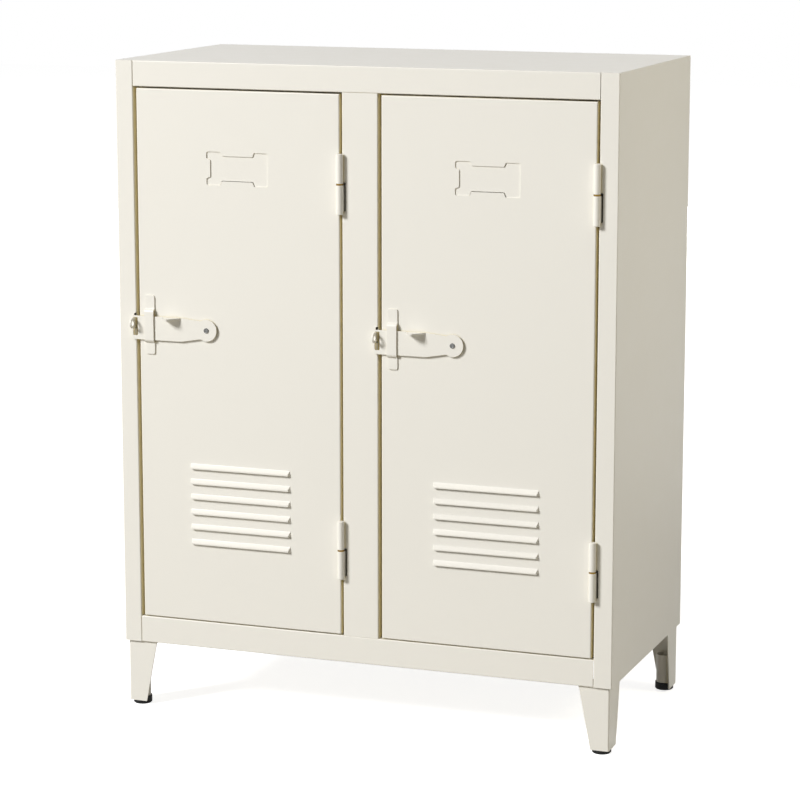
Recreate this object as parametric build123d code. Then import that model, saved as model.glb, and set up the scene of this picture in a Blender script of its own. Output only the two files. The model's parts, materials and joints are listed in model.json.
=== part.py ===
from build123d import *
import os

# All sizes are in millimetres. X runs across the front, Y from front to back and Z up from the floor.
# The front face of the doors lies at Y = 0 while the pieces are drawn.

# Driving sizes of the cabinet
WIDTH = 760.0
DEPTH = 380.0
HEIGHT = 970.0
BASE = 100.0
SHEET = 1.0
BEND = 1.5

# Front frame: posts at the sides, mullion in the middle, rails above and below
POST = 27.0
MULLION = 54.0
TOP_RAIL = 37.5
BOTTOM_RAIL = 40.0
STOP = 14.0
STOP_DROP = 10.0
BASE_RETURN = 27.0
CORNER_LAP = 6.0

# Doors
DOOR_DEEP = 18.0
LATCH_GAP = 5.5
HINGE_GAP = 4.0
TOP_GAP = 2.5
BOTTOM_GAP = 1.5
DOOR_LIP = 10.0
DOOR_RIM = 2.5
DOOR_BEND = 2.0

# Rubber bumpers that the closed doors rest against
BUMPER = 2.0
BUMPER_SIDE = 7.0
BUMPER_IN = 10.0
BUMPER_END = 60.0

# Hinges
BARREL_R = 5.0
KNUCKLE = 42.0
AXIS_OUT = 4.5
HINGE_END = 127.5
LEAF = 2.0
LEAF_BACK = 16.0
LEAF_SHORT = 5.0
BARREL_CHAMFER = 0.8
FRAME_NOTCH_WIDE = 5.5
DOOR_NOTCH_WIDE = 4.0
NOTCH_DEEP = 3.0
NOTCH_ROUND = 1.5
NOTCH_OVER = 1.0
PIN_R = 3.0
PIN_HELD = 20.0
PIN_RISE = 28.0
PIN_TIP = 0.8
BORE_EXTRA = 2.0
PIN_PLAY = 0.05
HINGE_WASHER = 2.6
HINGE_RUN = 0.15

# Louvres
LOUVRES = 6
LOUVRE_LONG = 158.0
LOUVRE_PITCH = 22.8
LOUVRE_UP = 116.8
LOUVRE_TALL = 8.4
LOUVRE_EASE = 1.6
LOUVRE_EASE_OUT = 0.6
LOUVRE_OUT = 4.5
LOUVRE_LIP = 2.2
LOUVRE_END = 2.0

# Card holder pressed into each door
CARD_WIDE = 96.0
CARD_TALL = 48.5
CARD_DOWN = 112.5
CARD_DEEP = 1.5
CARD_ROUND = 3.0
TAB_OVER = 6.0
TAB_SLANT = 3.0
TAB_ROUND = 1.5
TAB_SLIT = 0.8
TAB_SHARE = 0.5

# Latch lever, measured across from the door's latch edge, and up or down from its pivot
PIVOT_IN = 108.5
PIVOT_RISE = 44.45
LEVER = 2.0
LEVER_R = 16.0
LEVER_RISE = 16.4
LEVER_DROP = 18.6
LEVER_PAST = 5.8
LEVER_ROUND = 2.5
LEVER_KINK = 68.4
LEVER_KINK_ROUND = 12.0
NECK_IN = 99.3
NECK_HALF = 13.1
SLOT_LEFT = 3.6
SLOT_RIGHT = 4.0
SLOT_DROP = 12.8
SLOT_RISE = 14.1
SLOT_ROUND = 1.5

# Thumb tab bent out of the lever's top edge
THUMB_NEAR = 39.5
THUMB_FAR = 68.5
THUMB_TIP_NEAR = 45.0
THUMB_TIP_FAR = 53.5
THUMB_OUT = 22.0
THUMB_DOWN = 8.0
THUMB_BEND = 3.0
THUMB_ROUND = 3.0

# Pivot of the lever
LATCH_WASHER = 2.0
LATCH_WASHER_R = 12.0
RIVET_R = 2.5
RIVET_PLAY = 0.05
RIVET_HEAD_R = 3.8
RIVET_HEAD = 1.6
RIVET_RUN = 0.1
RIVET_CHAMFER = 0.8
RIVET_HOLLOW_R = 1.7
RIVET_HOLLOW = 1.2
RIVET_TAIL_R = 5.0
RIVET_TAIL = 1.5

# Guide strap over the lever, its ends and the feet of its raised part from the pivot
STRAP_IN = 17.5
STRAP_WIDE = 15.0
STRAP = 2.0
STRAP_DROP = 40.1
STRAP_RISE = 47.6
STRAP_FOOT_DROP = 21.4
STRAP_FOOT_RISE = 26.2
STRAP_RAMP = 2.0
STRAP_CLEAR = 0.6
STRAP_BEND = 3.0
STRAP_ROUND = 3.0

# Staple that stands through the lever's slot, its lower edge and its notch from the pivot
STAPLE = 2.0
STAPLE_INSET = 0.2
STAPLE_DROP = 1.7
STAPLE_TALL = 15.0
STAPLE_NOSE = 12.0
PADLOCK_R = 4.0
STAPLE_FOOT = 16.0
STAPLE_NOTCH = 3.4
STAPLE_NOTCH_DROP = 2.7
STAPLE_NOTCH_RISE = 19.8
STAPLE_NOTCH_EXTRA = 0.3

# Inside
SHELF_DOWN = 280.0
SHELF_PLAY = 0.5
SHELF_FRONT = 25.0
SHELF_REAR = 4.0
RUNNER_OUT = 12.0
RUNNER_DROP = 14.0
RUNNER_FRONT = 32.0
RUNNER_REAR = 12.0

# Legs
LEG_INSET = 4.0
LEG_SHEET = 2.0
LEG_FRONT_TOP = 46.0
LEG_FRONT_FOOT = 27.5
LEG_SIDE_TOP = 54.0
LEG_SIDE_FOOT = 38.0
LEG_LOW = 6.0
LEG_FLANGE = 24.0
LEG_ROUND = 2.0
TUBE_R = 12.5
TUBE_WALL = 1.5
TUBE_LOW = 3.0
TUBE_HIGH = 55.0
CAP_R = 14.0
CAP_HIGH = 11.5
CAP_CHAMFER = 1.5

# Screws that hold the legs, placed from the cabinet's outer corner
SCREW_R = 3.0
SCREW_HEAD_R = 5.5
SCREW_HEAD = 4.0
SCREW_END = 6.0
SCREW_FRONT = (36.0, 15.0)
SCREW_SIDE = (15.0, 42.0)

# Clearances, and the amount by which a cut overruns its stock
SEAM = 0.3
POST_SEAM = 0.6
FOLD_FIT = 0.1
OVER = 1.0

# Sizes that follow from the ones above
SIDE = WIDTH / 2
INNER = SIDE - SHEET
POST_EDGE = SIDE - POST
OPENING = POST_EDGE - MULLION / 2
BAY = (POST_EDGE + MULLION / 2) / 2
FLOOR = BASE + BOTTOM_RAIL
HEAD = HEIGHT - TOP_RAIL
STOP_FRONT = DOOR_DEEP + BUMPER
STOP_BACK = STOP_FRONT + SHEET
STOP_TOP = HEAD - STOP_DROP
DOOR_LEFT = LATCH_GAP - OPENING / 2
DOOR_RIGHT = OPENING / 2 - HINGE_GAP
DOOR_LOW = FLOOR + BOTTOM_GAP
DOOR_HIGH = HEAD - TOP_GAP
AXIS_X = OPENING / 2 - HINGE_GAP / 2
HINGE_LEVELS = (DOOR_LOW + HINGE_END, DOOR_HIGH - HINGE_END)
PIVOT_UP = (DOOR_LOW + DOOR_HIGH) / 2 + PIVOT_RISE
LEVER_TOP = PIVOT_UP + LEVER_RISE
LEVER_LOW = PIVOT_UP - LEVER_DROP
STAPLE_LOW = PIVOT_UP - STAPLE_DROP
CARD_MIDDLE = DOOR_HIGH - CARD_DOWN
SHELF_TOP = HEIGHT - SHELF_DOWN
LEVER_BACK = -LATCH_WASHER
LEVER_FRONT = LEVER_BACK - LEVER
LEG_CENTRE = LEG_INSET + LEG_SHEET + TUBE_R
REACH = THUMB_OUT
SEAT = (REACH - DEPTH) / 2


def block(x0, x1, y0, y1, z0, z1):
    """Box between the given limits."""
    return Pos(x0, y0, z0) * Box(x1 - x0, y1 - y0, z1 - z0, align=(Align.MIN,) * 3)


def slab_z(outline, z0, z1):
    """Outline drawn in X and Y, made solid from z0 to z1."""
    return Pos(0, 0, z0) * extrude(outline, z1 - z0)


def slab_y(outline, y0, y1):
    """Outline drawn in X and Z, made solid from y0 to y1."""
    return Pos(0, y1, 0) * extrude(Plane.XZ * outline, y1 - y0)


def slab_x(outline, x0, x1):
    """Outline drawn in Y and Z, made solid from x0 to x1."""
    return Pos(x0, 0, 0) * extrude(Plane.YZ * outline, x1 - x0)


def folded(points, thickness=SHEET, radius=BEND):
    """Section of a folded sheet, which lies to the left of the line through the points."""
    line = FilletPolyline(*points, radius=radius)
    return make_face(offset(line, amount=thickness, side=Side.LEFT).edges())


def rod(x, y, z0, z1, radius):
    """Upright cylinder."""
    return Pos(x, y, z0) * Cylinder(radius, z1 - z0, align=(Align.CENTER, Align.CENTER, Align.MIN))


def dowel(x, z, y0, y1, radius):
    """Cylinder along Y."""
    return slab_y(Pos(x, z) * Circle(radius), y0, y1)


def flipped(shape):
    """The same shape on the other side of the cabinet's middle."""
    return mirror(shape, about=Plane.YZ)


def reversed_in_depth(shape):
    """The same shape at the other end of the cabinet's depth."""
    return mirror(shape, about=Plane(origin=(0, DEPTH / 2, 0), z_dir=(0, 1, 0)))


def four_corners(shape):
    """Copies of a front left shape for the front left, front right, rear left and rear right."""
    rear = reversed_in_depth(shape)
    return [shape, flipped(shape), rear, flipped(rear)]


def corner_place(point):
    """A place given from the cabinet's front left corner."""
    return point[0] - SIDE, point[1]


def hinge_levels(centre):
    """Limits of the frame half, and of the door half, of a hinge whose washer is centred here."""
    lower = (centre - HINGE_WASHER / 2 - KNUCKLE, centre - HINGE_WASHER / 2)
    upper = (centre + HINGE_WASHER / 2 + HINGE_RUN, centre + HINGE_WASHER / 2 + KNUCKLE)
    return lower, upper


def edge_notch(edge, wide, z0, z1):
    """Rounded notch cut into a folded edge so that a hinge leaf can pass."""
    tall = z1 - z0
    outline = Pos(edge, (z0 + z1) / 2) * RectangleRounded(2 * wide, tall, NOTCH_ROUND)
    return slab_y(outline, -OVER, NOTCH_DEEP)


def frame_notches(edge):
    """Notches for the two hinges in the frame's edge."""
    cuts = []
    for centre in HINGE_LEVELS:
        lower, upper = hinge_levels(centre)
        low = lower[0] + LEAF_SHORT - SEAM
        cuts.append(edge_notch(edge, FRAME_NOTCH_WIDE, low, upper[0] + NOTCH_OVER))
    return cuts


def staple_notch(edge):
    """Notch for the staple in the frame's edge."""
    tall = STAPLE_NOTCH_RISE + STAPLE_NOTCH_DROP
    middle = PIVOT_UP + (STAPLE_NOTCH_RISE - STAPLE_NOTCH_DROP) / 2
    outline = Pos(edge, middle) * RectangleRounded(2 * STAPLE_NOTCH, tall, NOTCH_ROUND)
    return slab_y(outline, -OVER, SHEET + STAPLE + STAPLE_NOTCH_EXTRA)


def screw_holes(point):
    """Tapped holes for a leg screw at all four corners."""
    x, y = corner_place(point)
    return four_corners(rod(x, y, BASE - OVER, BASE + SHEET + OVER, SCREW_R))


def side_panel():
    """Left side sheet, between the post and the back."""
    return block(-SIDE, -INNER, CORNER_LAP, DEPTH, BASE, HEIGHT)


def plain_post():
    """Left front post, folded round the corner, with its return and the door stop."""
    post = -POST_EDGE
    line = [(-SIDE, CORNER_LAP), (-SIDE, 0), (post, 0), (post, STOP_FRONT), (post + STOP, STOP_FRONT)]
    column = slab_z(folded(line), BASE, HEIGHT)
    past = post + STOP + OVER
    column -= block(post, past, -OVER, STOP_BACK + OVER, STOP_TOP - SEAM, HEIGHT + OVER)
    column -= block(post, past, -OVER, STOP_BACK + OVER, BASE - OVER, FLOOR + SEAM)
    return column - block(-INNER, past, BEND, STOP_BACK + OVER, HEIGHT - SHEET - SEAM, HEIGHT + OVER)


def left_front_post():
    """Left post, with the notch for the left staple."""
    return plain_post() - staple_notch(-POST_EDGE)


def right_front_post():
    """Right post, with the notches for the right door's hinges."""
    return flipped(plain_post()) - frame_notches(POST_EDGE)


def top_panel():
    """Top sheet, cut back where the top rail is folded over the front edge."""
    half = POST_EDGE - SEAM
    sheet = block(-INNER, INNER, BEND + FOLD_FIT, DEPTH, HEIGHT - SHEET, HEIGHT)
    return sheet - block(-half, half, 0, CORNER_LAP, HEIGHT - SHEET - OVER, HEIGHT + OVER)


def top_rail():
    """Rail over the doors, folded back under the top sheet's edge, with the door stop."""
    line = [(CORNER_LAP, HEIGHT), (0, HEIGHT), (0, HEAD), (STOP_FRONT, HEAD), (STOP_FRONT, STOP_TOP)]
    return slab_x(folded(line), POST_SEAM - POST_EDGE, POST_EDGE - POST_SEAM)


def floor_panel():
    """Floor sheet of the compartments, cut out round the posts."""
    half = POST_EDGE - SEAM
    sheet = block(-INNER, INNER, STOP_BACK + SEAM, DEPTH - SHEET, FLOOR - SHEET, FLOOR)
    return sheet + block(-half, half, CORNER_LAP, STOP_BACK + SEAM, FLOOR - SHEET, FLOOR)


def front_base_rail():
    """Rail under the doors, folded over at the floor and back underneath."""
    line = [(CORNER_LAP, FLOOR), (0, FLOOR), (0, BASE), (BASE_RETURN, BASE)]
    return slab_x(folded(line), POST_SEAM - POST_EDGE, POST_EDGE - POST_SEAM) - screw_holes(SCREW_FRONT)


def rear_base_rail():
    """Angle along the foot of the back panel."""
    back = DEPTH - SHEET
    line = [(back - BASE_RETURN, BASE), (back, BASE), (back, FLOOR - SHEET)]
    return slab_x(folded(line), POST_SEAM - POST_EDGE, POST_EDGE - POST_SEAM) - screw_holes(SCREW_FRONT)


def side_base_rail():
    """Angle along the foot of the left side panel."""
    line = [(-INNER, FLOOR - SHEET), (-INNER, BASE), (-POST_EDGE, BASE)]
    return slab_y(folded(line), STOP_BACK + SEAM, DEPTH - SHEET) - screw_holes(SCREW_SIDE)


def back_panel():
    """Flat rear sheet between the side panels."""
    return block(-INNER, INNER, DEPTH - SHEET, DEPTH, BASE, HEIGHT - SHEET)


def centre_mullion():
    """Wide post between the doors, with a door stop on either side."""
    half = MULLION / 2
    line = [(-half - STOP, STOP_FRONT), (-half, STOP_FRONT), (-half, 0), (half, 0)]
    line += [(half, STOP_FRONT), (half + STOP, STOP_FRONT)]
    post = slab_z(folded(line), FLOOR, HEAD)
    past = half + STOP + OVER
    post -= block(-past, past, STOP_FRONT - BEND, STOP_BACK + OVER, STOP_TOP - SEAM, HEAD + OVER)
    post -= frame_notches(-half)
    return post - staple_notch(half)


def centre_partition():
    """Upright sheet between the compartments, from the mullion to the back."""
    half = SHEET / 2
    wall = block(-half, half, SHEET, DEPTH - SHEET, FLOOR, HEIGHT - SHEET)
    return wall - block(-half - OVER, half + OVER, 0, STOP_BACK + SEAM, STOP_TOP - SEAM, HEIGHT)


def shelf():
    """Left shelf sheet, which lies loose on its runners."""
    left = SHELF_PLAY - INNER
    right = -SHEET / 2 - SHELF_PLAY
    return block(left, right, SHELF_FRONT, DEPTH - SHELF_REAR, SHELF_TOP - SHEET, SHELF_TOP)


def shelf_runners():
    """Angles along the walls, on which the shelves lie."""
    top = SHELF_TOP - SHEET
    low = top - RUNNER_DROP
    outer = folded([(RUNNER_OUT - INNER, top), (-INNER, top), (-INNER, low)])
    wall = SHEET / 2
    inner = folded([(wall + RUNNER_OUT, top), (wall, top), (wall, low)])
    pieces = []
    for section in (outer, inner):
        piece = slab_y(section, RUNNER_FRONT, DEPTH - RUNNER_REAR)
        pieces += [piece, flipped(piece)]
    return pieces


def door_bumpers():
    """Rubber pads on the door stops, against which the closed doors rest."""
    pieces = []
    half = BUMPER_SIDE / 2
    for bay in (-BAY, BAY):
        x = bay - OPENING / 2 + BUMPER_IN
        for z in (DOOR_LOW + BUMPER_END, DOOR_HIGH - BUMPER_END):
            pieces.append(block(x - half, x + half, DOOR_DEEP, STOP_FRONT, z - half, z + half))
    return pieces


def staple(edge):
    """Flat padlock staple with its foot behind the post, for a post edge at this X."""
    right = edge - STAPLE_INSET
    left = right - STAPLE
    back = SHEET + STAPLE
    radius = STAPLE_TALL / 2
    middle = STAPLE_LOW + radius
    shank = Pos((back - STAPLE_NOSE) / 2, middle) * Rectangle(back + STAPLE_NOSE, STAPLE_TALL)
    nose = Pos(-STAPLE_NOSE, middle) * Circle(radius)
    hole = Pos(-STAPLE_NOSE, middle) * Circle(PADLOCK_R)
    ear = slab_x(shank + nose - hole, left, right)
    return ear + block(left - STAPLE_FOOT, right, SHEET, back, STAPLE_LOW, STAPLE_LOW + STAPLE_TALL)


def barrel(z0, z1, side, bore, bore_from, bore_to):
    """Hinge knuckle with a tangent leaf on one side, bored along its axis."""
    knuckle = rod(AXIS_X, -AXIS_OUT, z0, z1, BARREL_R)
    far = z0 if side > 0 else z1
    rims = [edge for edge in knuckle.edges().filter_by(GeomType.CIRCLE) if abs(edge.center().Z - far) < SEAM]
    knuckle = chamfer(rims, BARREL_CHAMFER)
    outer = AXIS_X + side * BARREL_R
    inner = outer - side * LEAF
    low = z0 + LEAF_SHORT if side > 0 else z0
    high = z1 if side > 0 else z1 - LEAF_SHORT
    knuckle += block(min(inner, outer), max(inner, outer), -AXIS_OUT, LEAF_BACK, low, high)
    return knuckle - rod(AXIS_X, -AXIS_OUT, bore_from, bore_to, bore)


def frame_half(centre):
    """Lower half of a hinge, which holds the pin and is welded behind the post's edge."""
    lower, upper = hinge_levels(centre)
    return barrel(lower[0], lower[1], 1, PIN_R, lower[1] - PIN_HELD, lower[1] + OVER)


def door_half(centre):
    """Upper half of a hinge, which is welded to the door and turns on the pin."""
    lower, upper = hinge_levels(centre)
    top = lower[1] + HINGE_WASHER + PIN_RISE + BORE_EXTRA
    return barrel(upper[0], upper[1], -1, PIN_R + PIN_PLAY, upper[0] - OVER, top)


def both_bays(shape):
    """The shape in the left and in the right bay."""
    return [Pos(-BAY, 0, 0) * shape, Pos(BAY, 0, 0) * shape]


def hinge_pins():
    """Pins of the four hinges."""
    pieces = []
    for centre in HINGE_LEVELS:
        seat = hinge_levels(centre)[0][1]
        pin = rod(AXIS_X, -AXIS_OUT, seat - PIN_HELD, seat + HINGE_WASHER + PIN_RISE, PIN_R)
        pin = chamfer(pin.edges().group_by(Axis.Z)[-1], PIN_TIP)
        pieces += both_bays(pin)
    return pieces


def hinge_washers():
    """Brass washers between the hinge halves."""
    pieces = []
    for centre in HINGE_LEVELS:
        seat = hinge_levels(centre)[0][1]
        ring = rod(AXIS_X, -AXIS_OUT, seat, seat + HINGE_WASHER, BARREL_R)
        ring -= rod(AXIS_X, -AXIS_OUT, seat - OVER, seat + HINGE_WASHER + OVER, PIN_R + PIN_PLAY)
        pieces += both_bays(ring)
    return pieces


def louvre_shape(wall):
    """Hood of a louvre, or the hollow under it when a wall is given."""
    out = LOUVRE_OUT - wall
    half = LOUVRE_LONG / 2 - wall
    end = LOUVRE_END - wall
    eased = LOUVRE_TALL - LOUVRE_EASE
    if wall:
        inside = SHEET + OVER
        brow = [(inside, eased - wall), (0, eased - wall)]
    else:
        inside = 0
        brow = [(0, LOUVRE_TALL), (-LOUVRE_EASE_OUT, eased)]
    profile = Polygon((inside, 0), *brow, (-out, LOUVRE_LIP), (-out, 0), align=None)
    hood = slab_x(profile, -half, half)
    plan = Polygon((-half, inside), (-half, 0), (end - half, -out), (half - end, -out), (half, 0),
                   (half, inside), align=None)
    return hood & slab_z(plan, 0, LOUVRE_TALL)


def louvre_places(middle):
    """Places of the louvres' lower edges."""
    return [Pos(middle, 0, DOOR_LOW + LOUVRE_UP + step * LOUVRE_PITCH) for step in range(LOUVRES)]


def card_tabs(middle):
    """The three retaining tabs, in X and Z: left, top and bottom."""
    tabs = []
    half_tall = CARD_TALL * TAB_SHARE / 2
    half_wide = CARD_WIDE * TAB_SHARE / 2
    left = middle - CARD_WIDE / 2
    tabs.append([(left - OVER, CARD_MIDDLE - half_tall - TAB_SLANT),
                 (left - OVER, CARD_MIDDLE + half_tall + TAB_SLANT),
                 (left + TAB_OVER, CARD_MIDDLE + half_tall),
                 (left + TAB_OVER, CARD_MIDDLE - half_tall)])
    for way in (1, -1):
        edge = CARD_MIDDLE + way * CARD_TALL / 2
        tabs.append([(middle - half_wide - TAB_SLANT, edge + way * OVER),
                     (middle + half_wide + TAB_SLANT, edge + way * OVER),
                     (middle + half_wide, edge - way * TAB_OVER),
                     (middle - half_wide, edge - way * TAB_OVER)])
    return [rounded_tab(points) for points in tabs]


def rounded_tab(points):
    """A tab's outline with its two free corners rounded."""
    tab = Polygon(*points, align=None)
    free = [corner for corner in tab.vertices() if is_near(corner, points[2]) or is_near(corner, points[3])]
    return fillet(free, TAB_ROUND)


def is_near(corner, point):
    """Whether a corner lies at the point."""
    return abs(corner.X - point[0]) + abs(corner.Y - point[1]) < SEAM


def with_card_holder(door, middle):
    """The door with the pressed recess, its backing, the three tabs and the slits round them."""
    outline = Pos(middle, CARD_MIDDLE) * RectangleRounded(CARD_WIDE, CARD_TALL, CARD_ROUND)
    backing = offset(outline, SHEET, kind=Kind.INTERSECTION)
    door += slab_y(backing, SHEET, CARD_DEEP + SHEET)
    door -= slab_y(outline, SHEET, CARD_DEEP)
    recess = outline
    slits = []
    for tab in card_tabs(middle):
        recess -= tab
        slits.append((offset(tab, TAB_SLIT) - tab) & outline)
    door -= slab_y(recess, -OVER, SHEET)
    for slit in slits:
        door -= slab_y(slit, SHEET, CARD_DEEP + SHEET + OVER)
    return door


def door_notches():
    """Notches for the leaves of the hinges' upper halves."""
    cuts = []
    for centre in HINGE_LEVELS:
        lower, upper = hinge_levels(centre)
        high = upper[1] - LEAF_SHORT + SEAM
        cuts.append(edge_notch(DOOR_RIGHT, DOOR_NOTCH_WIDE, upper[0] - NOTCH_OVER, high))
    return cuts


def door_panel():
    """Door sheet with rounded edges, louvres, card holder, hinge notches and rivet hole."""
    outer = block(DOOR_LEFT, DOOR_RIGHT, 0, DOOR_RIM, DOOR_LOW, DOOR_HIGH)
    outer = fillet(outer.faces().sort_by(Axis.Y)[0].edges(), DOOR_BEND)
    inner = block(DOOR_LEFT + SHEET, DOOR_RIGHT - SHEET, SHEET, DOOR_RIM + OVER, DOOR_LOW + SHEET,
                  DOOR_HIGH - SHEET)
    inner = fillet(inner.faces().sort_by(Axis.Y)[0].edges(), DOOR_BEND - SHEET)
    door = outer - inner - door_notches()
    door -= dowel(DOOR_LEFT + PIVOT_IN, PIVOT_UP, -OVER, SHEET + OVER, RIVET_R)
    middle = (DOOR_LEFT + DOOR_RIGHT) / 2
    hood = louvre_shape(0)
    hollow = louvre_shape(SHEET)
    for place in louvre_places(middle):
        door = door + place * hood - place * hollow
    return with_card_holder(door, middle)


def door_edges():
    """Folded edges welded round the back of the door sheet: two angles and two flat strips."""
    left = folded([(DOOR_LEFT + DOOR_LIP, DOOR_DEEP), (DOOR_LEFT, DOOR_DEEP), (DOOR_LEFT, DOOR_RIM)])
    right = folded([(DOOR_RIGHT, DOOR_RIM), (DOOR_RIGHT, DOOR_DEEP), (DOOR_RIGHT - DOOR_LIP, DOOR_DEEP)])
    back = DOOR_DEEP - SHEET
    x0 = DOOR_LEFT + SHEET
    x1 = DOOR_RIGHT - SHEET
    return [slab_z(left, DOOR_LOW, DOOR_HIGH),
            slab_z(right, DOOR_LOW, DOOR_HIGH) - door_notches(),
            block(x0, x1, DOOR_RIM, back, DOOR_LOW, DOOR_LOW + SHEET),
            block(x0, x1, DOOR_RIM, back, DOOR_HIGH - SHEET, DOOR_HIGH)]


def latch_strap():
    """Guide strap, raised over the lever and flat on the door at both ends."""
    raised = LEVER_FRONT - STRAP_CLEAR
    low = PIVOT_UP - STRAP_FOOT_DROP
    high = PIVOT_UP + STRAP_FOOT_RISE
    line = [(0, PIVOT_UP - STRAP_DROP), (0, low), (raised, low + STRAP_RAMP)]
    line += [(raised, high - STRAP_RAMP), (0, high), (0, PIVOT_UP + STRAP_RISE)]
    left = DOOR_LEFT + STRAP_IN - STRAP_WIDE / 2
    strap = slab_x(folded(line, STRAP, STRAP_BEND), left, left + STRAP_WIDE)
    ends = strap.edges().filter_by(Axis.Y).group_by(Axis.Z)
    return fillet(ends[0] + ends[-1], STRAP_ROUND)


def latch_washer():
    """Spacer between the door and the lever."""
    x = DOOR_LEFT + PIVOT_IN
    disc = dowel(x, PIVOT_UP, -LATCH_WASHER, 0, LATCH_WASHER_R)
    return disc - dowel(x, PIVOT_UP, -LATCH_WASHER - OVER, OVER, RIVET_R)


def latch_rivet():
    """Hollow rivet on which the lever turns, its head in front and its tail behind the door."""
    x = DOOR_LEFT + PIVOT_IN
    seat = LEVER_FRONT - RIVET_RUN
    front = seat - RIVET_HEAD
    head = dowel(x, PIVOT_UP, front, seat, RIVET_HEAD_R)
    head -= dowel(x, PIVOT_UP, front - OVER, front + RIVET_HOLLOW, RIVET_HOLLOW_R)
    head = chamfer(head.edges().group_by(Axis.Y)[0], RIVET_CHAMFER)
    shank = dowel(x, PIVOT_UP, seat, SHEET, RIVET_R)
    return head + shank + dowel(x, PIVOT_UP, SHEET, SHEET + RIVET_TAIL, RIVET_TAIL_R)


def lever_outline():
    """Front view of the lever, from its slotted end to the round end on the pivot."""
    end = -OPENING / 2 - LEVER_PAST
    kink = DOOR_LEFT + LEVER_KINK
    neck = DOOR_LEFT + NECK_IN
    pivot = DOOR_LEFT + PIVOT_IN
    points = [(end, LEVER_LOW), (kink, LEVER_LOW), (neck, PIVOT_UP - NECK_HALF), (pivot, PIVOT_UP)]
    points += [(neck, PIVOT_UP + NECK_HALF), (kink, LEVER_TOP), (end, LEVER_TOP)]
    blade = Polygon(*points, align=None)
    kinks = [corner for corner in blade.vertices() if is_near(corner, points[1]) or is_near(corner, points[5])]
    blade = fillet(kinks, LEVER_KINK_ROUND)
    tips = blade.vertices().group_by(Axis.X)[0]
    return fillet(tips, LEVER_ROUND) + Pos(pivot, PIVOT_UP) * Circle(LEVER_R)


def thumb_tab():
    """Tongue bent forward from the lever's top edge."""
    near = DOOR_LEFT + THUMB_NEAR
    far = DOOR_LEFT + THUMB_FAR
    line = [(LEVER_BACK, LEVER_TOP - THUMB_DOWN), (LEVER_BACK, LEVER_TOP), (-THUMB_OUT, LEVER_TOP)]
    strip = slab_x(folded(line, LEVER, THUMB_BEND), near, far)
    tip = [(DOOR_LEFT + THUMB_TIP_NEAR, -THUMB_OUT), (DOOR_LEFT + THUMB_TIP_FAR, -THUMB_OUT)]
    points = [(near, LEVER_BACK), (near, LEVER_FRONT), *tip, (far, LEVER_FRONT), (far, LEVER_BACK)]
    plan = Polygon(*points, align=None)
    free = [corner for corner in plan.vertices() if is_near(corner, tip[0]) or is_near(corner, tip[1])]
    plan = fillet(free, THUMB_ROUND)
    return strip & slab_z(plan, LEVER_TOP - THUMB_DOWN, LEVER_TOP)


def latch_lever():
    """Latch lever with its slot, pivot hole and thumb tab."""
    left = -OPENING / 2 - SLOT_LEFT
    right = -OPENING / 2 + SLOT_RIGHT
    middle = PIVOT_UP + (SLOT_RISE - SLOT_DROP) / 2
    slot = Pos((left + right) / 2, middle) * RectangleRounded(right - left, SLOT_RISE + SLOT_DROP, SLOT_ROUND)
    pivot = Pos(DOOR_LEFT + PIVOT_IN, PIVOT_UP) * Circle(RIVET_R + RIVET_PLAY)
    lever = slab_y(lever_outline() - slot - pivot, LEVER_FRONT, LEVER_BACK)
    lever -= block(DOOR_LEFT + THUMB_NEAR, DOOR_LEFT + THUMB_FAR, LEVER_FRONT - OVER, LEVER_BACK + OVER,
                   LEVER_TOP - THUMB_DOWN, LEVER_TOP + OVER)
    return lever + thumb_tab()


def leg_bracket():
    """Front left leg bracket: two tapered plates and a flange under the cabinet."""
    x = LEG_INSET - SIDE
    y = LEG_INSET
    front = Polygon((x, LEG_LOW), (x + LEG_FRONT_FOOT, LEG_LOW), (x + LEG_FRONT_TOP, BASE), (x, BASE), align=None)
    side = Polygon((y, LEG_LOW), (y + LEG_SIDE_FOOT, LEG_LOW), (y + LEG_SIDE_TOP, BASE), (y, BASE), align=None)
    flange = Polygon((x, y), (x + LEG_FRONT_TOP, y), (x + LEG_FRONT_TOP, y + LEG_FLANGE),
                     (x + LEG_FLANGE, y + LEG_SIDE_TOP), (x, y + LEG_SIDE_TOP), align=None)
    leg = slab_y(front, y, y + LEG_SHEET) + slab_x(side, x, x + LEG_SHEET)
    leg += slab_z(flange, BASE - LEG_SHEET, BASE)
    corner = leg.edges().filter_by(Axis.Z).sort_by(lambda edge: edge.center().X + edge.center().Y)[0]
    leg = fillet(corner, LEG_ROUND)
    for point in (SCREW_FRONT, SCREW_SIDE):
        screw_x, screw_y = corner_place(point)
        leg -= rod(screw_x, screw_y, BASE - LEG_SHEET - OVER, BASE + OVER, SCREW_R)
    return leg


def leg_tube():
    """Round tube in the inner corner of the front left leg."""
    x = LEG_CENTRE - SIDE
    tube = rod(x, LEG_CENTRE, TUBE_LOW, TUBE_HIGH, TUBE_R)
    return tube - rod(x, LEG_CENTRE, TUBE_LOW - OVER, TUBE_HIGH + OVER, TUBE_R - TUBE_WALL)


def foot_cap():
    """Cap on the front left tube, its collar cut away where the bracket's plates are."""
    x = LEG_CENTRE - SIDE
    cap = rod(x, LEG_CENTRE, 0, CAP_HIGH, CAP_R)
    cap = chamfer(cap.edges().group_by(Axis.Z)[0], CAP_CHAMFER)
    cap -= rod(x, LEG_CENTRE, TUBE_LOW, CAP_HIGH + OVER, TUBE_R)
    inner = LEG_INSET + LEG_SHEET
    low = LEG_LOW - SEAM
    high = CAP_HIGH + OVER
    cap -= block(-SIDE, inner - SIDE, 0, 2 * LEG_CENTRE, low, high)
    return cap - block(-SIDE, 2 * LEG_CENTRE - SIDE, 0, inner, low, high)


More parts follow.
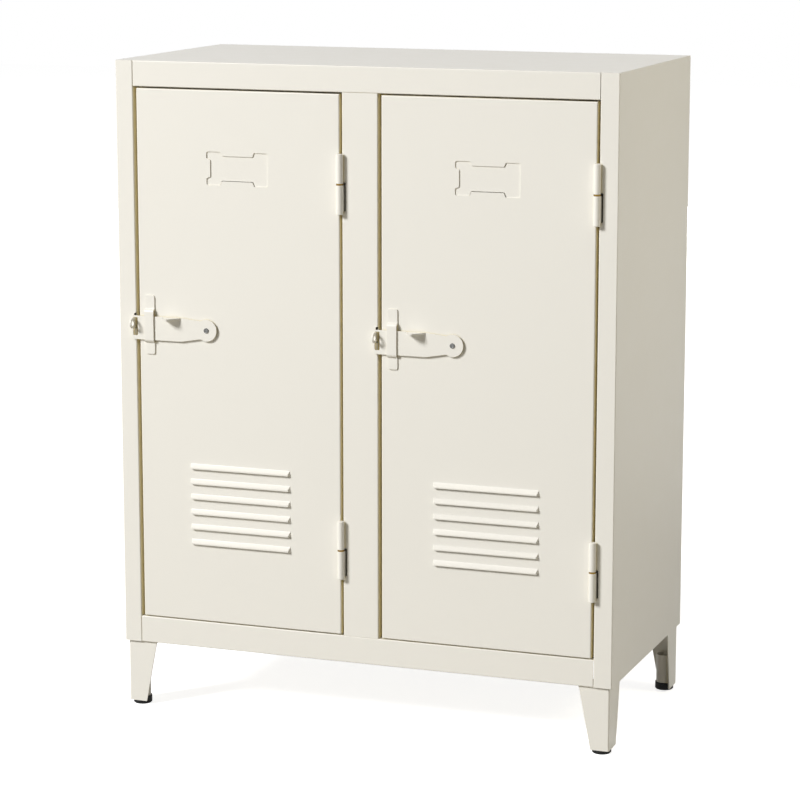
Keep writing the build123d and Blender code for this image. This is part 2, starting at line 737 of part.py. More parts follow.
def leg_screws():
    """Hexagon screws that hold the legs, two to a leg."""
    pieces = []
    seat = BASE - LEG_SHEET
    for point in (SCREW_FRONT, SCREW_SIDE):
        x, y = corner_place(point)
        screw = slab_z(Pos(x, y) * RegularPolygon(SCREW_HEAD_R, 6), seat - SCREW_HEAD, seat)
        pieces += four_corners(screw + rod(x, y, seat, BASE + SCREW_END, SCREW_R))
    return pieces


def save(name, *shapes):
    """Write one named sub-part, its solids kept separate."""
    solids = []
    for shape in shapes:
        solids += (Pos(0, SEAT, 0) * shape).solids()
    piece = solids[0] if len(solids) == 1 else Compound(children=solids)
    piece.label = name
    export_step(piece, os.path.join("parts", name + ".step"))


def save_cabinet():
    """Fixed sheet-metal pieces and what is fastened to them."""
    save("left_side_panel", side_panel())
    save("right_side_panel", flipped(side_panel()))
    save("left_front_post", left_front_post())
    save("right_front_post", right_front_post())
    save("top_panel", top_panel())
    save("top_rail", top_rail())
    save("floor_panel", floor_panel())
    save("front_base_rail", front_base_rail())
    save("rear_base_rail", rear_base_rail())
    save("left_base_rail", side_base_rail())
    save("right_base_rail", flipped(side_base_rail()))
    save("back_panel", back_panel())
    save("centre_mullion", centre_mullion())
    save("centre_partition", centre_partition())
    save("left_shelf", shelf())
    save("right_shelf", flipped(shelf()))
    save("shelf_runners", *shelf_runners())
    save("door_bumpers", *door_bumpers())
    save("hinge_pins", *hinge_pins())
    save("hinge_washers", *hinge_washers())


def save_bay(side, bay, edge):
    """The door of one bay, its latch, its hinges and its staple."""
    place = Pos(bay, 0, 0)
    save(side + "_door_panel", place * door_panel())
    save(side + "_door_edges", *(place * edge for edge in door_edges()))
    save(side + "_latch_strap", place * latch_strap())
    save(side + "_latch_washer", place * latch_washer())
    save(side + "_latch_rivet", place * latch_rivet())
    save(side + "_latch_lever", place * latch_lever())
    save(side + "_staple", staple(edge))
    for level, centre in zip(("lower", "upper"), HINGE_LEVELS):
        save(side + "_" + level + "_hinge_frame_half", place * frame_half(centre))
        save(side + "_" + level + "_hinge_door_half", place * door_half(centre))


def save_legs():
    """Leg brackets, tubes, caps and screws."""
    corners = ("front_left", "front_right", "rear_left", "rear_right")
    for kind, shape in (("leg_bracket", leg_bracket()), ("leg_tube", leg_tube()), ("foot_cap", foot_cap())):
        for corner, piece in zip(corners, four_corners(shape)):
            save(corner + "_" + kind, piece)
    save("leg_screws", *leg_screws())


os.makedirs("parts", exist_ok=True)
save_cabinet()
save_bay("left", -BAY, -POST_EDGE)
save_bay("right", BAY, MULLION / 2)
save_legs()
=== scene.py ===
import json
import math

import bmesh
import bpy
from bpy.props import FloatProperty, FloatVectorProperty, IntProperty, PointerProperty
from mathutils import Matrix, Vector


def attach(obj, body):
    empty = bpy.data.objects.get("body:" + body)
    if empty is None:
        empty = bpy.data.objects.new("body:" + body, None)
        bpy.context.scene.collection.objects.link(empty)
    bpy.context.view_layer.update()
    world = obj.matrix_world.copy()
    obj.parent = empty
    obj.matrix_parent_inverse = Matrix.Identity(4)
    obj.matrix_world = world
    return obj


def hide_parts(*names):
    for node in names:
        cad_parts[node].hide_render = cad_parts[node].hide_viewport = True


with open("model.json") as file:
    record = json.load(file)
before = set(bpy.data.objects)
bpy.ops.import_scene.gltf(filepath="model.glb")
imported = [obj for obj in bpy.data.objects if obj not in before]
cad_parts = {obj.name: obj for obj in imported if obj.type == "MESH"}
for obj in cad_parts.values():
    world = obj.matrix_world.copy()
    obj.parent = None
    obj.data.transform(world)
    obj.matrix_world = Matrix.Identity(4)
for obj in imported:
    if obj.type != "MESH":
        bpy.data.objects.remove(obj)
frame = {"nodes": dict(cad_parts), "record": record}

bl_info = {
    "name": "Double locker",
    "version": (1, 0, 0),
    "blender": (4, 5, 0),
    "location": "View3D > Sidebar > Locker",
    "description": "Finishes the locker's frame with enamelled sheets, rounded fittings and a studio",
    "category": "Object",
}

# Everything is in metres. The floor lies at Z = 0 and the doors face -Y.

# How a copy of a node is cleaned before its edges are rounded
MERGE = 0.000002
FLAT_ANGLE = math.radians(0.6)
EDGE_ANGLE = math.radians(28)
SMOOTH_ANGLE = math.radians(24)

# Rounded edges: their widths, and the profile across them
SHEET_EDGE = 0.00025
FITTING_EDGE = 0.0005
LEG_EDGE = 0.0006
RUBBER_EDGE = 0.0006
ROUND_PROFILE = 0.5

# How strongly large flat faces hold their normals against the rounded edges
FLAT_WEIGHT = 50

SHEETS = ("left_side_panel", "right_side_panel", "left_front_post", "right_front_post", "top_panel",
          "top_rail", "floor_panel", "front_base_rail", "rear_base_rail", "left_base_rail",
          "right_base_rail", "back_panel", "centre_mullion", "centre_partition", "left_shelf",
          "right_shelf", "shelf_runners")

# Noises: how often each crosses a metre, its detail and its roughness
ENAMEL_WAVES = (5.0, 0.0, 0.5)
ENAMEL_CLOUDS = (3.0, 3.0, 0.5)
ENAMEL_PATCHES = (46.0, 4.0, 0.6)
DUST_SPECKS = (260.0, 5.0, 0.7)
GRAIN_PATCHES = (180.0, 4.0, 0.6)
FLOOR_CLOUDS = (2.0, 1.0, 0.5)

# Noises whose size is a setting: detail and roughness
DIMPLES = (1.0, 0.5)
GRAIN = (3.0, 0.6)

# The middle part of a noise, which is stretched over the range asked for
NOISE_LOW = 0.3
NOISE_HIGH = 0.7

# Enamel: its dimples and slow waves, and how far its tone and gloss stray
PEEL_SIZE = 0.0012
PEEL_HEIGHT = 0.000006
WAVE_HEIGHT = 0.00002
TONE_SHARE = 0.008
GLOSS_SPREAD = 0.03

# Dust on what faces up: how much of the paint it covers, and its colour
DUST_SHARE = 0.3
DUST_COLOUR = (0.66, 0.58, 0.44)

# Painted shade in gaps and corners: rays for each point, and how fast the painted shade fades where they
# open
PAINTED_SHADE_RAYS = 12
PAINTED_SHADE_SLOPE = 1.6

# Rubber and metal: size and height of the grain, how far the tone strays, and the gloss
RUBBER_GRAIN = 0.0006
RUBBER_GRAIN_HEIGHT = 0.00002
METAL_GRAIN = 0.0004
METAL_GRAIN_HEIGHT = 0.000004
GRAIN_SHARE = 0.15
CAP_ROUGHNESS = (0.55, 0.75)
BUMPER_ROUGHNESS = (0.6, 0.8)
BRASS_ROUGHNESS = (0.4, 0.6)
STEEL_ROUGHNESS = (0.3, 0.5)
CAP_SHEEN = 0.2
PLAIN_SHEEN = 0.5

# Lamps: place, width and height
LAMP_AIM = (0.0, 0.0, 0.5)
KEY_PLACE = (-5.6, -6.7, 5.7)
KEY_WIDE = 2.4
KEY_TALL = 2.4
SIDE_PLACE = (1.6, 0.0, 1.15)
SIDE_WIDE = 0.5
SIDE_TALL = 0.5
REAR_PLACE = (-1.4, 6.2, 0.5)
REAR_WIDE = 2.0
REAR_TALL = 0.8

# Floor: half its width, how it is shown to the camera, and how it throws light back
FLOOR_REACH = 12.0
FLOOR_SHOWN = (0.9, 0.9, 0.9)
FLOOR_LIFT = 0.8
FLOOR_ROUGHNESS = 0.9
FLOOR_SHEEN = 0.1
FLOOR_TONE_SHARE = 0.01

WHITE = (1.0, 1.0, 1.0)
SIDE_TINT = (1.0, 0.93, 0.73)
SENSOR_WIDE = 36.0

SIDES = ("left", "right")
LEVELS = ("lower", "upper")
CORNERS = ("front_left", "front_right", "rear_left", "rear_right")

# The record's slots, and the finish made for each
FINISH_OF = {"ivory_paint": "locker_enamel", "foot_cap": "locker_cap_rubber",
             "bumper_rubber": "locker_bumper_rubber", "washer_brass": "locker_brass",
             "bare_steel": "locker_steel"}

SLOT_OF = {part["node"]: part["material_slot"] for part in frame["record"]["subparts"]}
BODY_OF = {node: body for body, nodes in frame["record"]["behaviour"]["bodies"].items() for node in nodes}


class LockerFinish(bpy.types.PropertyGroup):
    """Colours and surface of the locker's finishes."""

    paint: FloatVectorProperty(name="Paint", description="Ivory enamel on the sheets and fittings",
                               subtype="COLOR", size=3, min=0.0, max=1.0, default=(0.82, 0.80, 0.742))
    # The next colour is painted shade: a warm dark tone mixed into the enamel in gaps and corners, where
    # shade falls. The reach is how wide a gap gets it.
    painted_shade: FloatVectorProperty(name="Crevices", description="Deeper tone of the enamel in gaps",
                                 subtype="COLOR", size=3, min=0.0, max=1.0, default=(0.88, 0.76, 0.40))
    painted_shade_reach: FloatProperty(name="Crevice reach", description="Width of a gap that is toned",
                                 subtype="DISTANCE", unit="LENGTH", min=0.0, max=0.1, default=0.013)
    paint_roughness: FloatProperty(name="Paint roughness", description="Lower is glossier",
                                   subtype="FACTOR", min=0.0, max=1.0, default=0.36)
    peel_size: FloatProperty(name="Orange peel size", description="Size of the dimples in the enamel",
                             subtype="DISTANCE", unit="LENGTH", min=0.0001, max=0.02, default=PEEL_SIZE)
    peel_height: FloatProperty(name="Orange peel height", description="Height of the dimples in the enamel",
                               subtype="DISTANCE", unit="LENGTH", min=0.0, max=0.001, default=PEEL_HEIGHT)
    rubber: FloatVectorProperty(name="Rubber", description="Caps under the feet", subtype="COLOR", size=3,
                                min=0.0, max=1.0, default=(0.006, 0.006, 0.006))
    bumper: FloatVectorProperty(name="Bumpers", description="Pads behind the doors", subtype="COLOR",
                                size=3, min=0.0, max=1.0, default=(0.10, 0.10, 0.10))
    brass: FloatVectorProperty(name="Brass", description="Washers in the hinges", subtype="COLOR", size=3,
                               min=0.0, max=1.0, default=(0.20, 0.125, 0.03))
    steel: FloatVectorProperty(name="Steel", description="Rivets, pins and screws", subtype="COLOR",
                               size=3, min=0.0, max=1.0, default=(0.16, 0.16, 0.155))


class LockerEdges(bpy.types.PropertyGroup):
    """Rounding of the pieces' edges."""

    sheet: FloatProperty(name="Sheet edges", description="Rounding of the sheets' cut edges",
                         subtype="DISTANCE", unit="LENGTH", min=0.0, max=0.0005, default=SHEET_EDGE)
    fitting: FloatProperty(name="Fitting edges", description="Rounding of hinges and latches",
                           subtype="DISTANCE", unit="LENGTH", min=0.0, max=0.001, default=FITTING_EDGE)
    leg: FloatProperty(name="Leg edges", description="Rounding of the legs' plates",
                       subtype="DISTANCE", unit="LENGTH", min=0.0, max=0.001, default=LEG_EDGE)
    rubber: FloatProperty(name="Rubber edges", description="Rounding of the caps and bumpers",
                          subtype="DISTANCE", unit="LENGTH", min=0.0, max=0.002, default=RUBBER_EDGE)
    segments: IntProperty(name="Segments", description="Facets across a rounded edge", min=1, max=6,
                          default=2)


class LockerStudio(bpy.types.PropertyGroup):
    """Camera, lamps and floor."""

    camera_place: FloatVectorProperty(name="Camera", description="Where the camera stands",
                                      subtype="TRANSLATION", unit="LENGTH", size=3,
                                      default=(1.4516, -3.9483, 1.2567))
    camera_turn: FloatProperty(name="Turn", description="Turn of the camera to the left",
                               subtype="ANGLE", unit="ROTATION", default=math.radians(20.254))
    camera_tilt: FloatProperty(name="Tilt", description="Tilt of the camera below the horizon",
                               subtype="ANGLE", unit="ROTATION", default=math.radians(10.715))
    lens: FloatProperty(name="Lens", description="Focal length on a 36 mm frame", min=20.0, max=300.0,
                        subtype="DISTANCE_CAMERA", default=128.75)
    key: FloatProperty(name="Key lamp", description="Power of the soft lamp at the upper left", min=0.0,
                       subtype="POWER", unit="POWER", default=1115.0)
    side: FloatProperty(name="Side lamp", description="Power of the weak warm lamp at the right", min=0.0,
                        subtype="POWER", unit="POWER", default=6.2)
    rear: FloatProperty(name="Rear lamp", description="Power of the soft lamp behind", min=0.0,
                        subtype="POWER", unit="POWER", default=130.0)
    fill: FloatProperty(name="Fill", description="Brightness of the room", min=0.0, default=0.15)
    floor: FloatVectorProperty(name="Floor", description="Colour that the floor throws back",
                               subtype="COLOR", size=3, min=0.0, max=1.0, default=(0.34, 0.305, 0.23))


def settings():
    """The three groups of settings."""
    scene = bpy.context.scene
    return scene.locker_finish, scene.locker_edges, scene.locker_studio


# Materials

def socket(group, name, way, kind="NodeSocketFloat", value=None):
    """Adds a named input or output to a node group."""
    made = group.interface.new_socket(name=name, in_out=way, socket_type=kind)
    if value is not None:
        made.default_value = value


def new_group(name):
    """An empty node group, or None if it is there already."""
    if name in bpy.data.node_groups:
        return None
    return bpy.data.node_groups.new(name, "ShaderNodeTree")


def math_node(tree, operation, first, second):
    """A Math node fed by links or numbers."""
    node = tree.nodes.new("ShaderNodeMath")
    node.operation = operation
    for place, value in enumerate((first, second)):
        if isinstance(value, bpy.types.NodeSocket):
            tree.links.new(value, node.inputs[place])
        else:
            node.inputs[place].default_value = value
    return node.outputs[0]


def noise_node(tree, vector, scale, detail, roughness):
    """A Noise Texture; the scale may be a link."""
    node = tree.nodes.new("ShaderNodeTexNoise")
    tree.links.new(vector, node.inputs["Vector"])
    if isinstance(scale, bpy.types.NodeSocket):
        tree.links.new(scale, node.inputs["Scale"])
    else:
        node.inputs["Scale"].default_value = scale
    node.inputs["Detail"].default_value = detail
    node.inputs["Roughness"].default_value = roughness
    return node.outputs["Fac"]


def enamel_group():
    """Sprayed enamel: dimpled height, and slow changes of tone and gloss."""
    group = new_group("sprayed_enamel")
    if group is None:
        return bpy.data.node_groups["sprayed_enamel"]
    socket(group, "Vector", "INPUT", "NodeSocketVector")
    socket(group, "Dimple Size", "INPUT", value=PEEL_SIZE)
    socket(group, "Dimple Height", "INPUT", value=PEEL_HEIGHT)
    socket(group, "Wave Height", "INPUT", value=WAVE_HEIGHT)
    socket(group, "Height", "OUTPUT")
    socket(group, "Tone", "OUTPUT")
    socket(group, "Gloss", "OUTPUT")
    start = group.nodes.new("NodeGroupInput").outputs
    end = group.nodes.new("NodeGroupOutput").inputs
    often = math_node(group, "DIVIDE", 1.0, start["Dimple Size"])
    dimples = noise_node(group, start["Vector"], often, *DIMPLES)
    waves = noise_node(group, start["Vector"], *ENAMEL_WAVES)
    height = math_node(group, "MULTIPLY", dimples, start["Dimple Height"])
    sway = math_node(group, "MULTIPLY", waves, start["Wave Height"])
    group.links.new(math_node(group, "ADD", height, sway), end["Height"])
    group.links.new(noise_node(group, start["Vector"], *ENAMEL_CLOUDS), end["Tone"])
    group.links.new(noise_node(group, start["Vector"], *ENAMEL_PATCHES), end["Gloss"])
    return group


def dust_group():
    """Fine dust that lies on what faces up, as a mask."""
    group = new_group("settled_dust")
    if group is None:
        return bpy.data.node_groups["settled_dust"]
    socket(group, "Vector", "INPUT", "NodeSocketVector")
    socket(group, "Amount", "INPUT", value=DUST_SHARE)
    socket(group, "Dust", "OUTPUT")
    start = group.nodes.new("NodeGroupInput").outputs
    end = group.nodes.new("NodeGroupOutput").inputs
    facing = group.nodes.new("ShaderNodeNewGeometry")
    parts = group.nodes.new("ShaderNodeSeparateXYZ")
    group.links.new(facing.outputs["Normal"], parts.inputs[0])
    upward = math_node(group, "MAXIMUM", parts.outputs["Z"], 0.0)
    specks = noise_node(group, start["Vector"], *DUST_SPECKS)
    lying = math_node(group, "MULTIPLY", upward, specks)
    group.links.new(math_node(group, "MULTIPLY", lying, start["Amount"]), end["Dust"])
    return group


def grain_group():
    """Fine grain for rubber and metal: height, and changes of gloss."""
    group = new_group("fine_grain")
    if group is None:
        return bpy.data.node_groups["fine_grain"]
    socket(group, "Vector", "INPUT", "NodeSocketVector")
    socket(group, "Grain Size", "INPUT", value=RUBBER_GRAIN)
    socket(group, "Grain Height", "INPUT", value=RUBBER_GRAIN_HEIGHT)
    socket(group, "Height", "OUTPUT")
    socket(group, "Gloss", "OUTPUT")
    start = group.nodes.new("NodeGroupInput").outputs
    end = group.nodes.new("NodeGroupOutput").inputs
    often = math_node(group, "DIVIDE", 1.0, start["Grain Size"])
    grain = noise_node(group, start["Vector"], often, *GRAIN)
    group.links.new(math_node(group, "MULTIPLY", grain, start["Grain Height"]), end["Height"])
    group.links.new(noise_node(group, start["Vector"], *GRAIN_PATCHES), end["Gloss"])
    return group


def new_material(name):
    """A material with its shader, and the Object coordinates that its patterns read."""
    material = bpy.data.materials.new(name)
    material.use_nodes = True
    tree = material.node_tree
    shader = tree.nodes["Principled BSDF"]
    place = tree.nodes.new("ShaderNodeTexCoord").outputs["Object"]
    return material, tree, shader, place


def place_group(tree, group, vector, **values):
    """Puts a node group into a material with its own values."""
    node = tree.nodes.new("ShaderNodeGroup")
    node.node_tree = group
    tree.links.new(vector, node.inputs["Vector"])
    for name, value in values.items():
        node.inputs[name.replace("_", " ")].default_value = value
    return node.outputs


def between(tree, mask, low, high, target):
    """Sends the mask to a socket, with its middle part stretched from low to high."""
    node = tree.nodes.new("ShaderNodeMapRange")
    tree.links.new(mask, node.inputs["Value"])
    node.inputs["From Min"].default_value = NOISE_LOW
    node.inputs["From Max"].default_value = NOISE_HIGH
    node.inputs["To Min"].default_value = low
    node.inputs["To Max"].default_value = high
    tree.links.new(node.outputs["Result"], target)


def mixed(tree, mask, first, second):
    """A colour between two, by a mask; each may be a colour or a link."""
    node = tree.nodes.new("ShaderNodeMix")
    node.data_type = "RGBA"
    tree.links.new(mask, node.inputs["Factor"])
    for name, value in (("A", first), ("B", second)):
        entry = [item for item in node.inputs if item.name == name and item.type == "RGBA"][0]
        if isinstance(value, bpy.types.NodeSocket):
            tree.links.new(value, entry)
        else:
            entry.default_value = (*value, 1.0)
    return [item for item in node.outputs if item.type == "RGBA"][0]


def bumped(tree, height, shader):
    """Sends a height in metres to the shader's normal."""
    bump = tree.nodes.new("ShaderNodeBump")
    bump.inputs["Strength"].default_value = 1.0
    bump.inputs["Distance"].default_value = 1.0
    tree.links.new(height, bump.inputs["Height"])
    tree.links.new(bump.outputs["Normal"], shader.inputs["Normal"])


def shade(colour, by):
    """The colour made lighter or darker."""
    return tuple(min(1.0, part * by) for part in colour)


def painted_shade_mask(tree, reach):
    """A mask for the painted shade: 1 where the enamel keeps its colour, falling to 0 in gaps and corners
    where shade falls, except on what faces up and is lit.
    """
    openness = tree.nodes.new("ShaderNodeAmbientOcclusion")
    openness.samples = PAINTED_SHADE_RAYS
    openness.inputs["Distance"].default_value = reach
    facing = tree.nodes.new("ShaderNodeNewGeometry")
    parts = tree.nodes.new("ShaderNodeSeparateXYZ")
    tree.links.new(facing.outputs["Normal"], parts.inputs[0])
    upward = math_node(tree, "MAXIMUM", parts.outputs["Z"], 0.0)
    opened = math_node(tree, "MULTIPLY", openness.outputs["AO"], PAINTED_SHADE_SLOPE)
    clear = tree.nodes.new("ShaderNodeClamp")
    tree.links.new(math_node(tree, "ADD", opened, upward), clear.inputs["Value"])
    return clear.outputs["Result"]


def ivory_paint(finish):
    """Semi-gloss ivory enamel, with painted shade mixed into its colour in gaps and corners."""
    material, tree, shader, place = new_material("locker_enamel")
    skin = place_group(tree, enamel_group(), place, Dimple_Size=finish.peel_size,
                       Dimple_Height=finish.peel_height)
    dust = place_group(tree, dust_group(), place, Amount=DUST_SHARE)
    darker = shade(finish.paint, 1.0 - TONE_SHARE)
    lighter = shade(finish.paint, 1.0 + TONE_SHARE)
    paint = mixed(tree, skin["Tone"], darker, lighter)
    dusty = mixed(tree, dust["Dust"], paint, DUST_COLOUR)
    # Painted shade: the warm dark colour is mixed into the base colour where gaps and corners hold shade.
    clear = painted_shade_mask(tree, finish.painted_shade_reach)
    tree.links.new(mixed(tree, clear, finish.painted_shade, dusty), shader.inputs["Base Color"])
    between(tree, skin["Gloss"], finish.paint_roughness - GLOSS_SPREAD,
            finish.paint_roughness + GLOSS_SPREAD, shader.inputs["Roughness"])
    bumped(tree, skin["Height"], shader)


def grained(name, colour, roughness, size, height, metallic=0.0, sheen=PLAIN_SHEEN):
    """Plain rubber or metal with a fine grain, and a roughness between two values."""
    material, tree, shader, place = new_material(name)
    grain = place_group(tree, grain_group(), place, Grain_Size=size, Grain_Height=height)
    darker = shade(colour, 1.0 - GRAIN_SHARE)
    lighter = shade(colour, 1.0 + GRAIN_SHARE)
    tone = mixed(tree, grain["Gloss"], darker, lighter)
    tree.links.new(tone, shader.inputs["Base Color"])
    between(tree, grain["Gloss"], *roughness, shader.inputs["Roughness"])
    bumped(tree, grain["Height"], shader)
    shader.inputs["Metallic"].default_value = metallic
    shader.inputs["Specular IOR Level"].default_value = sheen


def material_for(slot_name):
    """The finish made for one of the record's slots."""
    return bpy.data.materials[FINISH_OF[slot_name]]


class LOCKER_OT_finishes(bpy.types.Operator):
    """Makes the finishes and gives each node its own"""

    bl_idname = "locker.finishes"
    bl_label = "Finishes"

    def execute(self, context):
        finish = settings()[0]
        ivory_paint(finish)
        grained("locker_cap_rubber", finish.rubber, CAP_ROUGHNESS, RUBBER_GRAIN, RUBBER_GRAIN_HEIGHT,
                sheen=CAP_SHEEN)
        grained("locker_bumper_rubber", finish.bumper, BUMPER_ROUGHNESS, RUBBER_GRAIN, RUBBER_GRAIN_HEIGHT)
        grained("locker_brass", finish.brass, BRASS_ROUGHNESS, METAL_GRAIN, METAL_GRAIN_HEIGHT, metallic=1.0)
        grained("locker_steel", finish.steel, STEEL_ROUGHNESS, METAL_GRAIN, METAL_GRAIN_HEIGHT, metallic=1.0)
        for node, item in frame["nodes"].items():
            material = material_for(SLOT_OF[node])
            for entry in item.material_slots:
                entry.link = "OBJECT"
                entry.material = material
        return {"FINISHED"}


# Rounded copies of the nodes

def cleaned(mesh):
    """A node's loose triangles merged, with its flat faces whole."""
    work = bmesh.new()
    work.from_mesh(mesh)
    bmesh.ops.remove_doubles(work, verts=work.verts, dist=MERGE)
    bmesh.ops.dissolve_limit(work, angle_limit=FLAT_ANGLE, verts=work.verts, edges=work.edges,
                             use_dissolve_boundaries=False)
    return work


def sharp_edges(work, angle):
    """Edges where two faces meet at more than the angle."""
    return [edge for edge in work.edges if len(edge.link_faces) == 2 and edge.calc_face_angle(0.0) > angle]


def finish_piece(work, name, node):
    """Makes a piece of the bmesh that stands for a node."""
    mesh = bpy.data.meshes.new(name)
    for face in work.faces:
        face.smooth = True
    for edge in work.edges:
        edge.smooth = True
    for edge in sharp_edges(work, SMOOTH_ANGLE):
        edge.smooth = False
    work.to_mesh(mesh)
    work.free()
    piece = bpy.data.objects.new(name, mesh)
    bpy.context.scene.collection.objects.link(piece)
    mesh.materials.append(material_for(SLOT_OF[node]))
    even = piece.modifiers.new("even_flats", "WEIGHTED_NORMAL")
    even.mode = "FACE_AREA"
    even.weight = FLAT_WEIGHT
    even.keep_sharp = True
    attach(piece, BODY_OF[node])
    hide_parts(node)


def rounded(node, width):
    """Makes a copy of a node with its sharp edges rounded, which stands for it."""
    segments = settings()[1].segments
    work = cleaned(frame["nodes"][node].data)
    bmesh.ops.bevel(work, geom=sharp_edges(work, EDGE_ANGLE), offset=width, offset_type="OFFSET",
                    segments=segments, profile=ROUND_PROFILE, affect="EDGES", material=-1,
                    clamp_overlap=True)
    finish_piece(work, node + "_rounded", node)


class LOCKER_OT_sheets(bpy.types.Operator):
    """Rounds the cut edges of the cabinet's sheets"""

    bl_idname = "locker.sheets"
    bl_label = "Sheets"

    def execute(self, context):
        for node in SHEETS:
            rounded(node, settings()[1].sheet)
        return {"FINISHED"}


class LOCKER_OT_doors(bpy.types.Operator):
    """Rounds the edges of the doors and their bumpers"""

    bl_idname = "locker.doors"
    bl_label = "Doors"

    def execute(self, context):
        edges = settings()[1]
        for side in SIDES:
            rounded(side + "_door_panel", edges.sheet)
            rounded(side + "_door_edges", edges.sheet)
        rounded("door_bumpers", edges.rubber)
        return {"FINISHED"}


class LOCKER_OT_hinges(bpy.types.Operator):
    """Rounds the hinges' knuckles, leaves and washers"""

    bl_idname = "locker.hinges"
    bl_label = "Hinges"

    def execute(self, context):
        edges = settings()[1]
        for side in SIDES:
            for level in LEVELS:
                for half in ("frame", "door"):
                    rounded(side + "_" + level + "_hinge_" + half + "_half", edges.sheet)
        rounded("hinge_washers", edges.sheet)
        return {"FINISHED"}


class LOCKER_OT_latches(bpy.types.Operator):
    """Rounds the levers, straps, staples, washers and rivets"""

    bl_idname = "locker.latches"
    bl_label = "Latches"

    def execute(self, context):
        edges = settings()[1]
        for side in SIDES:
            for kind in ("_latch_lever", "_latch_strap", "_staple", "_latch_washer"):
                rounded(side + kind, edges.fitting)
            rounded(side + "_latch_rivet", edges.sheet)
        return {"FINISHED"}


class LOCKER_OT_legs(bpy.types.Operator):
    """Rounds the leg plates, tubes and caps"""

    bl_idname = "locker.legs"
    bl_label = "Legs"

    def execute(self, context):
        edges = settings()[1]
        for corner in CORNERS:
            rounded(corner + "_leg_bracket", edges.leg)
            rounded(corner + "_leg_tube", edges.sheet)
            rounded(corner + "_foot_cap", edges.rubber)
        return {"FINISHED"}


# Studio

def lamps(studio):
    """Name, place, width, height, power and colour of each lamp."""
    return (("key_lamp", KEY_PLACE, KEY_WIDE, KEY_TALL, studio.key, WHITE),
            ("side_lamp", SIDE_PLACE, SIDE_WIDE, SIDE_TALL, studio.side, SIDE_TINT),
            ("rear_lamp", REAR_PLACE, REAR_WIDE, REAR_TALL, studio.rear, WHITE))


def aimed_lamp(name, place, wide, tall, power, colour):
    """A soft rectangular lamp, aimed at the middle of the locker."""
    data = bpy.data.lights.new(name, "AREA")
    data.shape = "RECTANGLE"
    data.size = wide
    data.size_y = tall
    data.energy = power
    data.color = colour
    lamp = bpy.data.objects.new(name, data)
    lamp.location = place
    lamp.rotation_euler = (Vector(LAMP_AIM) - Vector(place)).to_track_quat("-Z", "Y").to_euler()
    bpy.context.scene.collection.objects.link(lamp)


def seen_rays(tree):
    """A mask of the rays that come from the camera, or by way of a mirror or glass."""
    path = tree.nodes.new("ShaderNodeLightPath").outputs
    bounced = math_node(tree, "MAXIMUM", path["Is Glossy Ray"], path["Is Transmission Ray"])
    return math_node(tree, "MAXIMUM", path["Is Camera Ray"], bounced)


def studio_floor(colour):
    """A wide pale floor that shows white and keeps the locker's shadow."""
    material, tree, shader, place = new_material("studio_floor")
    output = tree.nodes["Material Output"]
    darker = shade(colour, 1.0 - FLOOR_TONE_SHARE)
    lighter = shade(colour, 1.0 + FLOOR_TONE_SHARE)
    tone = mixed(tree, noise_node(tree, place, *FLOOR_CLOUDS), darker, lighter)
    tree.links.new(tone, shader.inputs["Base Color"])
    shader.inputs["Roughness"].default_value = FLOOR_ROUGHNESS
    shader.inputs["Specular IOR Level"].default_value = FLOOR_SHEEN
    shown = tree.nodes.new("ShaderNodeBsdfDiffuse")
    shown.inputs["Color"].default_value = (*FLOOR_SHOWN, 1.0)
    lift = tree.nodes.new("ShaderNodeEmission")
    lift.inputs["Strength"].default_value = FLOOR_LIFT
    both = tree.nodes.new("ShaderNodeAddShader")
    tree.links.new(shown.outputs[0], both.inputs[0])
    tree.links.new(lift.outputs[0], both.inputs[1])
    choice = tree.nodes.new("ShaderNodeMixShader")
    tree.links.new(seen_rays(tree), choice.inputs[0])
    tree.links.new(shader.outputs[0], choice.inputs[1])
    tree.links.new(both.outputs[0], choice.inputs[2])
    tree.links.new(choice.outputs[0], output.inputs["Surface"])
    work = bmesh.new()
    bmesh.ops.create_grid(work, x_segments=1, y_segments=1, size=FLOOR_REACH)
    mesh = bpy.data.meshes.new("studio_floor")
    work.to_mesh(mesh)
    work.free()
    mesh.materials.append(material)
    floor = bpy.data.objects.new("studio_floor", mesh)
    bpy.context.scene.collection.objects.link(floor)


def studio_world(strength):
    """Even light from all round, which shows as white."""
    world = bpy.data.worlds.new("studio")
    world.use_nodes = True
    tree = world.node_tree
    tree.nodes.clear()
    room = tree.nodes.new("ShaderNodeBackground")
    room.inputs["Strength"].default_value = strength
    seen = tree.nodes.new("ShaderNodeBackground")
    seen.inputs["Strength"].default_value = 1.0
    for node in (room, seen):
        node.inputs["Color"].default_value = (*WHITE, 1.0)
    choice = tree.nodes.new("ShaderNodeMixShader")
    output = tree.nodes.new("ShaderNodeOutputWorld")
    tree.links.new(seen_rays(tree), choice.inputs[0])
    tree.links.new(room.outputs[0], choice.inputs[1])
    tree.links.new(seen.outputs[0], choice.inputs[2])
    tree.links.new(choice.outputs[0], output.inputs["Surface"])
    bpy.context.scene.world = world


def studio_camera(studio):
    """The camera, at the photograph's angle."""
    data = bpy.data.cameras.new("studio_camera")
    data.lens = studio.lens
    data.sensor_width = SENSOR_WIDE
    camera = bpy.data.objects.new("studio_camera", data)
    camera.location = studio.camera_place
    camera.rotation_euler = (math.pi / 2 - studio.camera_tilt, 0.0, studio.camera_turn)
    bpy.context.scene.collection.objects.link(camera)
    bpy.context.scene.camera = camera


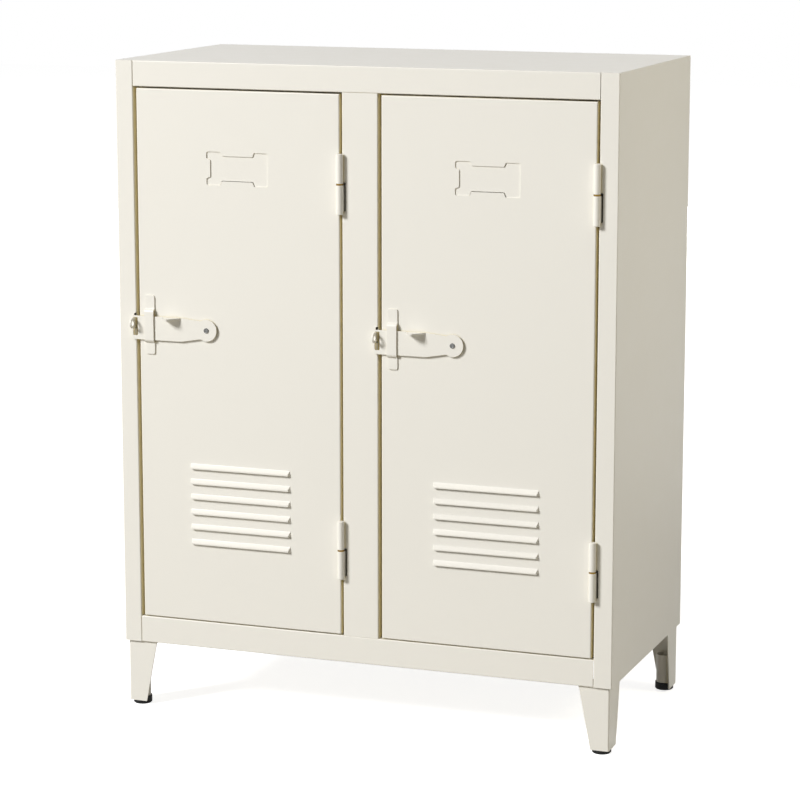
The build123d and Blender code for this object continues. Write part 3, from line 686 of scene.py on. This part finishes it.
class LOCKER_OT_studio(bpy.types.Operator):
    """Sets up the camera, lamps, floor and white room"""

    bl_idname = "locker.studio"
    bl_label = "Studio"

    def execute(self, context):
        studio = settings()[2]
        context.scene.view_settings.view_transform = "Standard"
        studio_camera(studio)
        studio_world(studio.fill)
        studio_floor(studio.floor)
        for name, place, wide, tall, power, colour in lamps(studio):
            aimed_lamp(name, place, wide, tall, power, colour)
        return {"FINISHED"}


class LOCKER_PT_panel(bpy.types.Panel):
    """Steps of the locker's finishing."""

    bl_label = "Locker"
    bl_idname = "LOCKER_PT_panel"
    bl_space_type = "VIEW_3D"
    bl_region_type = "UI"
    bl_category = "Locker"

    def draw(self, context):
        layout = self.layout
        for step in STEPS:
            layout.operator(step.bl_idname)
        for group in settings():
            box = layout.box()
            for name in group.bl_rna.properties.keys():
                if name not in ("rna_type", "name"):
                    box.prop(group, name)


STEPS = (LOCKER_OT_finishes, LOCKER_OT_studio, LOCKER_OT_sheets, LOCKER_OT_doors, LOCKER_OT_hinges,
         LOCKER_OT_latches, LOCKER_OT_legs)
GROUPS = (LockerFinish, LockerEdges, LockerStudio)


def register():
    """Registers the classes and adds their settings to the scene."""
    for item in (*GROUPS, *STEPS, LOCKER_PT_panel):
        bpy.utils.register_class(item)
    bpy.types.Scene.locker_finish = PointerProperty(type=LockerFinish)
    bpy.types.Scene.locker_edges = PointerProperty(type=LockerEdges)
    bpy.types.Scene.locker_studio = PointerProperty(type=LockerStudio)


def unregister():
    """Takes the settings and classes away again."""
    del bpy.types.Scene.locker_finish
    del bpy.types.Scene.locker_edges
    del bpy.types.Scene.locker_studio
    for item in reversed((*GROUPS, *STEPS, LOCKER_PT_panel)):
        bpy.utils.unregister_class(item)


def make_locker():
    """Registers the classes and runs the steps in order."""
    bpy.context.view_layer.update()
    register()
    bpy.ops.locker.finishes()
    bpy.ops.locker.studio()
    bpy.ops.locker.sheets()
    bpy.ops.locker.doors()
    bpy.ops.locker.hinges()
    bpy.ops.locker.latches()
    bpy.ops.locker.legs()
    bpy.context.view_layer.update()


if __name__ == "__main__":
    make_locker()
